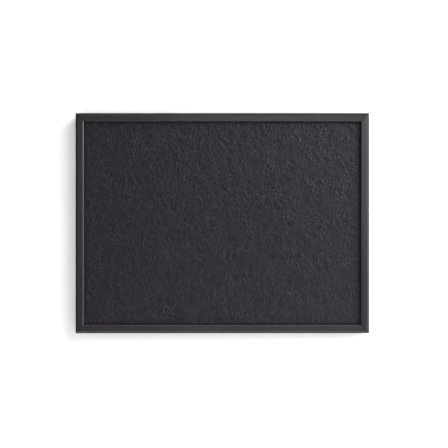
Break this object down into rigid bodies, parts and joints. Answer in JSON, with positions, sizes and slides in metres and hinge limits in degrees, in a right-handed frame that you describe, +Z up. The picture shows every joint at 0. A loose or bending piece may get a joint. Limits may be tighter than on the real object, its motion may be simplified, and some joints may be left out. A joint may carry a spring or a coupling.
{
  "type": "wall punch pad",
  "caption": "Rectangular padded striking panel held in a mitred rebated frame, with turn buttons, keyhole hangers and wall pads on its back.",
  "frame": {"origin": "centre of the side that rests on the wall, on the wall face of the central wall pad", "axes": "+Z up, +Y into the wall, so the front faces -Y; +X to the right as seen from the front"},
  "size_m": [0.6096, 0.038, 0.4572],
  "materials": {
    "frame_black": "satin",
    "cover_leatherette": "matte",
    "foam": "matte",
    "plywood": "matte",
    "zinc_steel": "satin",
    "screw_steel": "satin",
    "nail_steel": "satin",
    "rubber": "matte"
  },
  "bodies": {
    "frame": {"rail_top": "frame_black", "rail_bottom": "frame_black", "rail_left": "frame_black", "rail_right": "frame_black", "v_nail_top_right_outer": "nail_steel", "v_nail_top_right_inner": "nail_steel", "v_nail_bottom_right_outer": "nail_steel", "v_nail_bottom_right_inner": "nail_steel", "v_nail_bottom_left_outer": "nail_steel", "v_nail_bottom_left_inner": "nail_steel", "v_nail_top_left_outer": "nail_steel", "v_nail_top_left_inner": "nail_steel", "cover": "cover_leatherette", "foam_core": "foam", "backer_board": "plywood", "pivot_screw_top_1": "screw_steel", "pivot_screw_top_2": "screw_steel", "pivot_screw_bottom_1": "screw_steel", "pivot_screw_bottom_2": "screw_steel", "pivot_screw_left": "screw_steel", "pivot_screw_right": "screw_steel", "keyhole_plate_left": "zinc_steel", "keyhole_plate_right": "zinc_steel", "plate_screw_left_upper": "screw_steel", "plate_screw_left_lower": "screw_steel", "plate_screw_right_upper": "screw_steel", "plate_screw_right_lower": "screw_steel", "bumper_top_left": "rubber", "bumper_top_right": "rubber", "bumper_bottom_left": "rubber", "bumper_bottom_right": "rubber", "wall_pad_centre": "rubber", "wall_pad_upper_left": "rubber", "wall_pad_upper_right": "rubber", "wall_pad_lower_left": "rubber", "wall_pad_lower_right": "rubber"},
    "button_top_1": {"turn_button_top_1": "zinc_steel"},
    "button_top_2": {"turn_button_top_2": "zinc_steel"},
    "button_bottom_1": {"turn_button_bottom_1": "zinc_steel"},
    "button_bottom_2": {"turn_button_bottom_2": "zinc_steel"},
    "button_left": {"turn_button_left": "zinc_steel"},
    "button_right": {"turn_button_right": "zinc_steel"}
  },
  "joints": [
    {"name": "turn_top_1", "type": "hinge", "parent": "frame", "child": "button_top_1", "pos_m": [-0.17, -0.0032, 0.2223], "axis": [0, 1, 0], "range_deg": [-90, 90]},
    {"name": "turn_top_2", "type": "hinge", "parent": "frame", "child": "button_top_2", "pos_m": [0.17, -0.0032, 0.2223], "axis": [0, 1, 0], "range_deg": [-90, 90]},
    {"name": "turn_bottom_1", "type": "hinge", "parent": "frame", "child": "button_bottom_1", "pos_m": [0.17, -0.0032, -0.2223], "axis": [0, 1, 0], "range_deg": [-90, 90]},
    {"name": "turn_bottom_2", "type": "hinge", "parent": "frame", "child": "button_bottom_2", "pos_m": [-0.17, -0.0032, -0.2223], "axis": [0, 1, 0], "range_deg": [-90, 90]},
    {"name": "turn_left", "type": "hinge", "parent": "frame", "child": "button_left", "pos_m": [-0.2985, -0.0032, 0], "axis": [0, 1, 0], "range_deg": [-90, 90]},
    {"name": "turn_right", "type": "hinge", "parent": "frame", "child": "button_right", "pos_m": [0.2985, -0.0032, 0], "axis": [0, 1, 0], "range_deg": [-90, 90]}
  ]
}
